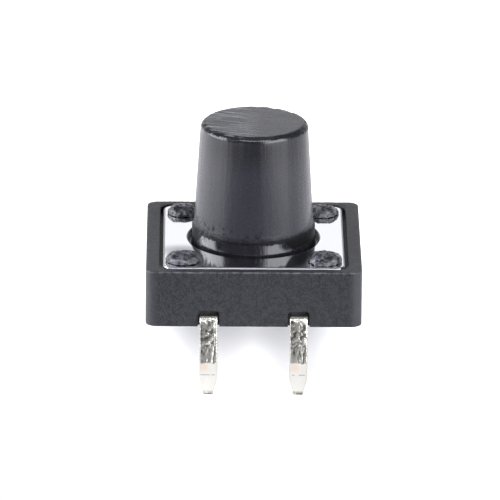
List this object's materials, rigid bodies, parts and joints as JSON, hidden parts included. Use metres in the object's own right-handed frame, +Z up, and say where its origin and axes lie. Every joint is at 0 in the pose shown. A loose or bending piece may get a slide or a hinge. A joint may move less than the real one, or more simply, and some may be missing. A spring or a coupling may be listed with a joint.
{
  "type": "tactile push button switch",
  "caption": "Square board-mounted tactile switch with a tall tapered round button, a heat-staked steel cover and kinked snap-in legs.",
  "frame": {"origin": "centre of the housing's underside, at the height where the switch sits on its circuit board", "axes": "+Z up along the button's travel, +X to the right along the row of two legs, +Y to the back"},
  "size_m": [0.012, 0.0136, 0.0139],
  "materials": {
    "housing_plastic": "black glass-filled nylon with a fine moulded texture",
    "cover_steel": "bright tin-plated steel strip",
    "button_plastic": "black nylon, satin, with light scuffs",
    "spring_steel": "bright stainless spring strip",
    "plated_brass": "silver-plated brass strip, solderable"
  },
  "bodies": {
    "body": {"housing": "housing_plastic", "cover_plate": "cover_steel", "snap_dome": "spring_steel", "left_terminal": "plated_brass", "right_terminal": "plated_brass"},
    "plunger": {"button": "button_plastic"}
  },
  "joints": [
    {"name": "button_press", "type": "slide", "parent": "body", "child": "plunger", "axis": [0, 0, 1], "range_m": [-0.0003, 0], "stiffness_N_per_m": 6700, "deforming": ["snap_dome"]}
  ]
}
